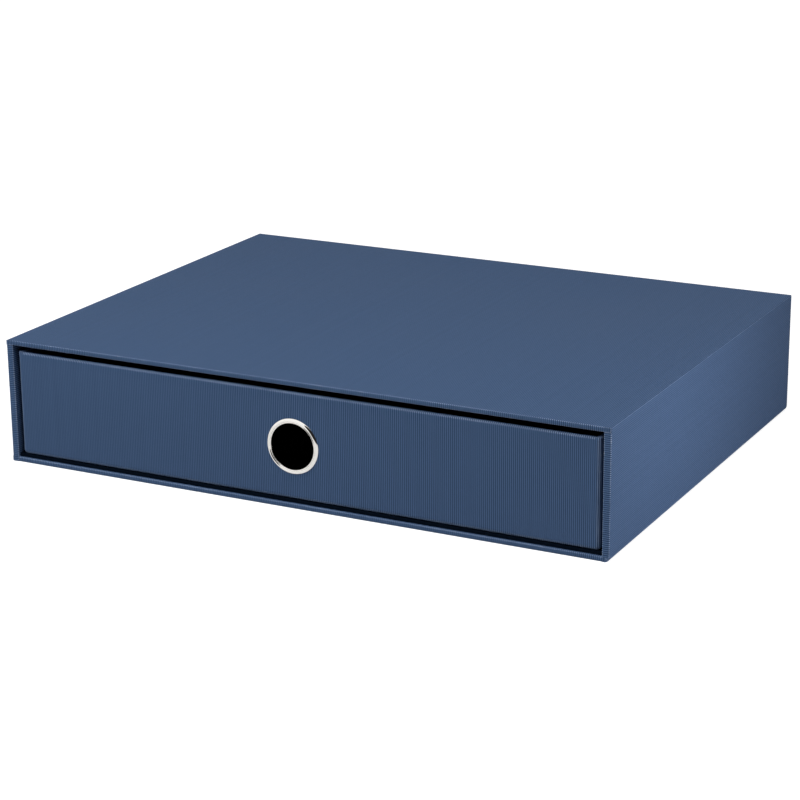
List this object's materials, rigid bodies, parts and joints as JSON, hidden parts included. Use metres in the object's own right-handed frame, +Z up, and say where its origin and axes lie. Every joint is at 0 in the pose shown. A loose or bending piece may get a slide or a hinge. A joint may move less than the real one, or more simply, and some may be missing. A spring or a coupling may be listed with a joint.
{
  "type": "file box with drawer",
  "caption": "Flat desk file box for A4 sheets: a paper-covered board case, closed at the back, with a sliding tray drawer and a metal ring round its finger hole.",
  "frame": {"origin": "middle of the underside of the case, on the desk", "axes": "+Z up, -Y to the front, where the drawer comes out, +X to the right seen from the front"},
  "size_m": [0.332, 0.255, 0.065],
  "materials": {
    "greyboard": "raw greyboard",
    "ribbed_paper": "navy covering paper, embossed with fine ribs",
    "lining_paper": "smooth black",
    "black_card": "black card",
    "ring_metal": "polished nickel plate",
    "washer_metal": "plain steel"
  },
  "bodies": {
    "case": {"case_base_board": "greyboard", "case_left_board": "greyboard", "case_right_board": "greyboard", "case_top_board": "greyboard", "case_rear_board": "greyboard", "case_left_liner": "greyboard", "case_right_liner": "greyboard", "case_cover_sheet": "ribbed_paper", "case_base_sheet": "ribbed_paper", "case_rear_sheet": "ribbed_paper", "case_lining_sheet": "lining_paper", "case_slide_card": "black_card"},
    "drawer": {"tray_base_board": "greyboard", "tray_front_board": "greyboard", "tray_rear_board": "greyboard", "tray_left_board": "greyboard", "tray_right_board": "greyboard", "tray_cover_sheet": "ribbed_paper", "tray_base_sheet": "ribbed_paper", "tray_lining_sheet": "lining_paper", "pull_ring": "ring_metal", "ring_washer": "washer_metal"}
  },
  "joints": [
    {"name": "drawer_slide", "type": "slide", "parent": "case", "child": "drawer", "axis": [0, -1, 0], "range_m": [0, 0.205]}
  ]
}
